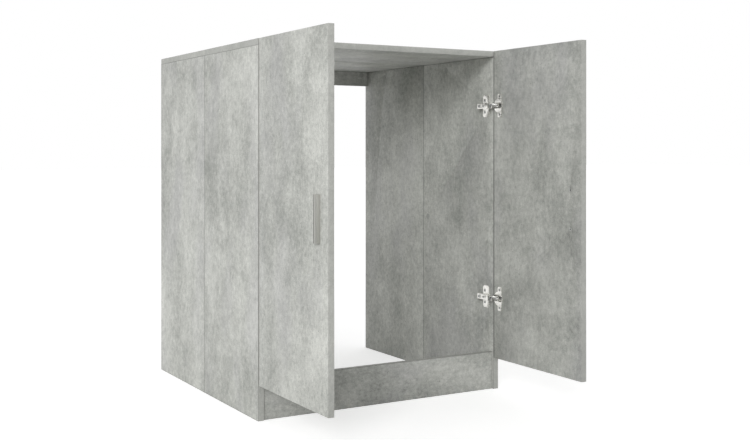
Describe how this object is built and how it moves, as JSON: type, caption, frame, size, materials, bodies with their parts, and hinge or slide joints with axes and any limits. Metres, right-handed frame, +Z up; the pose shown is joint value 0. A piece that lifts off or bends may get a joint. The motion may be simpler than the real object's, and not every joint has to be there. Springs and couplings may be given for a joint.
{
  "type": "washing machine cabinet",
  "caption": "Open-backed floor cabinet that encloses a washing machine, with doors on concealed cup hinges, grip strips, a plinth and a rear top rail.",
  "frame": {"origin": "on the floor, on the centre line, in the plane of the side boards' front edges", "axes": "+X to the right seen from the front, +Y to the back, +Z up"},
  "size_m": [0.7248, 1.0529, 0.915],
  "materials": {
    "concrete_laminate": "matt concrete-look laminate",
    "nickel": "bright nickel plate",
    "screw_steel": "zinc-plated steel",
    "spring_steel": "plain spring steel",
    "zinc": "cast zinc",
    "handle_metal": "satin grey",
    "cap_plastic": "matt, in the board's colour",
    "beech": "raw"
  },
  "bodies": {
    "carcass": {"arm_pins": "nickel", "cam_bolts": "zinc", "cam_caps": "cap_plastic", "cam_locks": "zinc", "hinge_arm_screws": "screw_steel", "left_lower_hinge_arm": "nickel", "left_lower_mounting_plate": "nickel", "left_side_front_board": "concrete_laminate", "left_side_rear_board": "concrete_laminate", "left_upper_hinge_arm": "nickel", "left_upper_mounting_plate": "nickel", "mounting_plate_screws": "screw_steel", "plinth_board": "concrete_laminate", "rear_top_rail": "concrete_laminate", "right_lower_hinge_arm": "nickel", "right_lower_mounting_plate": "nickel", "right_side_front_board": "concrete_laminate", "right_side_rear_board": "concrete_laminate", "right_upper_hinge_arm": "nickel", "right_upper_mounting_plate": "nickel", "top_front_board": "concrete_laminate", "top_rear_board": "concrete_laminate", "wooden_dowels": "beech"},
    "left_door": {"left_closing_springs": "spring_steel", "left_cup_pins": "nickel", "left_cup_screws": "screw_steel", "left_door_panel": "concrete_laminate", "left_handle": "handle_metal", "left_handle_screws": "screw_steel", "left_lower_hinge_cup": "nickel", "left_upper_hinge_cup": "nickel"},
    "left_inner_links": {"left_lower_inner_link": "nickel", "left_upper_inner_link": "nickel"},
    "left_outer_links": {"left_lower_outer_link": "nickel", "left_outer_link_pins": "nickel", "left_upper_outer_link": "nickel"},
    "right_door": {"right_closing_springs": "spring_steel", "right_cup_pins": "nickel", "right_cup_screws": "screw_steel", "right_door_panel": "concrete_laminate", "right_handle": "handle_metal", "right_handle_screws": "screw_steel", "right_lower_hinge_cup": "nickel", "right_upper_hinge_cup": "nickel"},
    "right_inner_links": {"right_lower_inner_link": "nickel", "right_upper_inner_link": "nickel"},
    "right_outer_links": {"right_lower_outer_link": "nickel", "right_outer_link_pins": "nickel", "right_upper_outer_link": "nickel"}
  },
  "joints": [
    {"name": "left_inner_link_swing", "type": "hinge", "parent": "carcass", "child": "left_inner_links", "pos_m": [-0.32522, -0.0016, 0.5], "axis": [0, 0, 1], "range_deg": [-21.68, 1.21]},
    {"name": "left_door_swing", "type": "hinge", "parent": "left_inner_links", "child": "left_door", "pos_m": [-0.34197, -0.01228, 0.5], "axis": [0, 0, 1], "range_deg": [-6.2, 111.67]},
    {"name": "left_outer_link_swing", "type": "hinge", "parent": "carcass", "child": "left_outer_links", "pos_m": [-0.32625, -0.00776, 0.5], "axis": [0, 0, 1], "range_deg": [-4.82, 0.28]},
    {"name": "right_inner_link_swing", "type": "hinge", "parent": "carcass", "child": "right_inner_links", "pos_m": [0.32522, -0.0016, 0.5], "axis": [0, 0, 1], "range_deg": [-1.21, 21.68]},
    {"name": "right_door_swing", "type": "hinge", "parent": "right_inner_links", "child": "right_door", "pos_m": [0.34197, -0.01228, 0.5], "axis": [0, 0, 1], "range_deg": [-111.67, 6.2]},
    {"name": "right_outer_link_swing", "type": "hinge", "parent": "carcass", "child": "right_outer_links", "pos_m": [0.32625, -0.00776, 0.5], "axis": [0, 0, 1], "range_deg": [-0.28, 4.82]}
  ],
  "couplings": [
    {"joint": "left_inner_link_swing", "follows": "left_door_swing", "ratio": -0.19402},
    {"joint": "left_outer_link_swing", "follows": "left_door_swing", "ratio": -0.043088},
    {"joint": "right_inner_link_swing", "follows": "right_door_swing", "ratio": -0.19402},
    {"joint": "right_outer_link_swing", "follows": "right_door_swing", "ratio": -0.043088}
  ]
}
